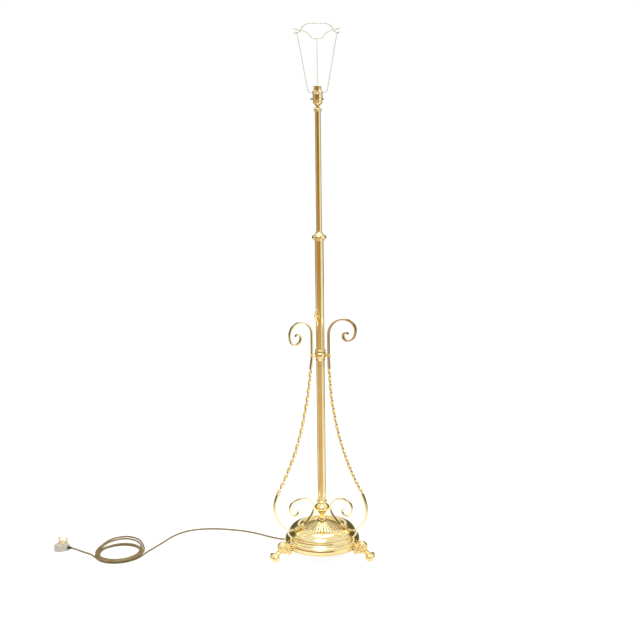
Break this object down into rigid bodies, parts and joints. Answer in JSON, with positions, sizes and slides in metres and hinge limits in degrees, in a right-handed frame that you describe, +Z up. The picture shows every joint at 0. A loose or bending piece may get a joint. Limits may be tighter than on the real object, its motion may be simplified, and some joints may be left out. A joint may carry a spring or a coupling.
{
  "type": "telescopic standard lamp",
  "caption": "Brass telescopic standard lamp: weighted dome base on cast feet, twisted scroll arms, sliding upper tube, bayonet holder with push bar, wire shade carrier and coiled flex.",
  "frame": {"origin": "on the floor under the middle of the column, between the three feet", "axes": "+Z up the column, +X to the viewer's right in the picture, -Y towards the camera"},
  "size_m": [1.1247, 0.3406, 1.765],
  "materials": {
    "brass": "polished, lacquered, warm",
    "cast_brass": "cast, polished on the crests",
    "iron": "as cast, painted dark",
    "steel": "plain",
    "insulator": "moulded, pale",
    "black_plastic": "moulded, glossy",
    "cream_wire": "cream coating on wire",
    "rubber": "matt",
    "flex": "gold-brown, satin",
    "plug_plastic": "moulded, satin",
    "plug_brass": "plain"
  },
  "bodies": {
    "stand": {"base_dome": "brass", "foot_left": "cast_brass", "foot_right": "cast_brass", "foot_back": "cast_brass", "neck": "brass", "knop": "brass", "outer_tube": "brass", "mid_collar": "brass", "arm_nuts": "brass", "side_arm_left": "brass", "side_arm_right": "brass", "side_arm_back": "brass", "c_scroll_left": "brass", "c_scroll_right": "brass", "c_scroll_back": "brass", "dome_bolts": "brass", "top_collar": "brass", "guide_bush": "brass", "catch_plate": "brass", "catch_pin": "brass", "base_weight": "iron", "foot_screws": "steel", "stem_nipple": "steel", "lock_nut": "steel", "lock_washer": "steel", "dome_nuts": "steel", "catch_spring": "steel", "cord_relief": "rubber", "cord_clip": "steel", "clip_screws": "steel", "inner_flex": "flex", "cord": "flex", "cord_coil": "flex", "cord_tail": "flex", "plug_body": "plug_plastic", "plug_pins": "plug_brass", "plug_sleeve": "rubber"},
    "upper": {"inner_tube": "brass", "inner_bush": "brass", "top_knob": "brass", "threaded_tube": "brass", "holder_cap": "brass", "contact_block": "insulator", "holder_barrel": "brass", "plunger_springs": "steel", "shade_carrier": "cream_wire"},
    "lever": {"catch_lever": "brass"},
    "switch": {"switch_bar": "black_plastic"},
    "shade_nut": {"shade_ring": "brass"},
    "contact_a": {"plunger_a": "brass"},
    "contact_b": {"plunger_b": "brass"}
  },
  "joints": [
    {"name": "height_slide", "type": "slide", "parent": "stand", "child": "upper", "axis": [0, 0, 1], "range_m": [-0.38, 0.23], "deforming": ["inner_flex"]},
    {"name": "catch_pivot", "type": "hinge", "parent": "stand", "child": "lever", "pos_m": [-0.01367, -0.01231, 0.829], "axis": [-0.6691, 0.7431, 0], "range_deg": [0, 8], "stiffness_Nm_per_rad": 0.05, "springref_deg": -5.73, "deforming": ["catch_spring"]},
    {"name": "switch_slide", "type": "slide", "parent": "upper", "child": "switch", "axis": [1, 0, 0], "range_m": [0, 0.004]},
    {"name": "shade_nut_turn", "type": "hinge", "parent": "upper", "child": "shade_nut", "pos_m": [0, 0, 1.561], "axis": [0, 0, 1], "continuous": true},
    {"name": "contact_a_slide", "type": "slide", "parent": "upper", "child": "contact_a", "axis": [0, 0, -1], "range_m": [0, 0.003], "stiffness_N_per_m": 500, "springref_m": -0.002, "deforming": ["plunger_springs"]},
    {"name": "contact_b_slide", "type": "slide", "parent": "upper", "child": "contact_b", "axis": [0, 0, -1], "range_m": [0, 0.003], "stiffness_N_per_m": 500, "springref_m": -0.002, "deforming": ["plunger_springs"]}
  ]
}
